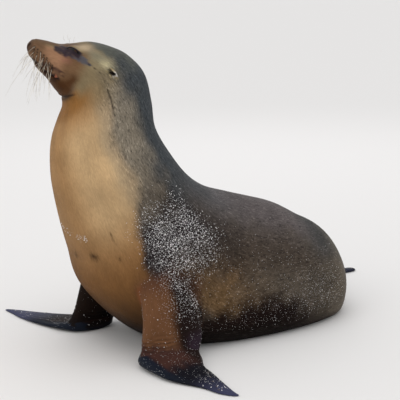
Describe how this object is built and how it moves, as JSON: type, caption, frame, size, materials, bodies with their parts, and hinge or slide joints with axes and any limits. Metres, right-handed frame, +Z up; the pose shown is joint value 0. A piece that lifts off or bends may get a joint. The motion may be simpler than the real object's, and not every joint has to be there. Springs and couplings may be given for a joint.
{
  "type": "sea lion",
  "caption": "Life-size still model of a sea lion resting on its belly with chest and head raised on its fore flippers.",
  "frame": {"origin": "middle of the box round the animal, on the floor it rests on", "axes": "+Z up; the animal faces -Y, its left side is +X and its hind flippers lie towards +Y"},
  "size_m": [0.8696, 1.1354, 0.7463],
  "materials": {
    "coat_head": "short damp fur, olive brown with an ochre brow",
    "coat_neck": "short fur, golden tan in front and charcoal behind",
    "coat_body": "short flat fur, charcoal grey-brown with pale grizzling",
    "coat_limb": "short dark reddish brown fur",
    "bare_skin": "bare slate blue-black skin, finely wrinkled",
    "eye": "wet dark brown eye"
  },
  "bodies": {
    "root": {"head": "coat_head", "lower_jaw": "coat_head", "neck": "coat_neck", "chest": "coat_neck", "belly": "coat_body", "rump": "coat_body", "tail": "coat_body", "ear_left": "coat_body", "ear_right": "coat_body", "eye_left": "eye", "eye_right": "eye", "foreleg_left": "coat_limb", "foreleg_right": "coat_limb", "foreflipper_left": "bare_skin", "foreflipper_right": "bare_skin", "hindleg_left": "coat_limb", "hindleg_right": "coat_limb", "hindflipper_left": "bare_skin", "hindflipper_right": "bare_skin"}
  },
  "joints": []
}
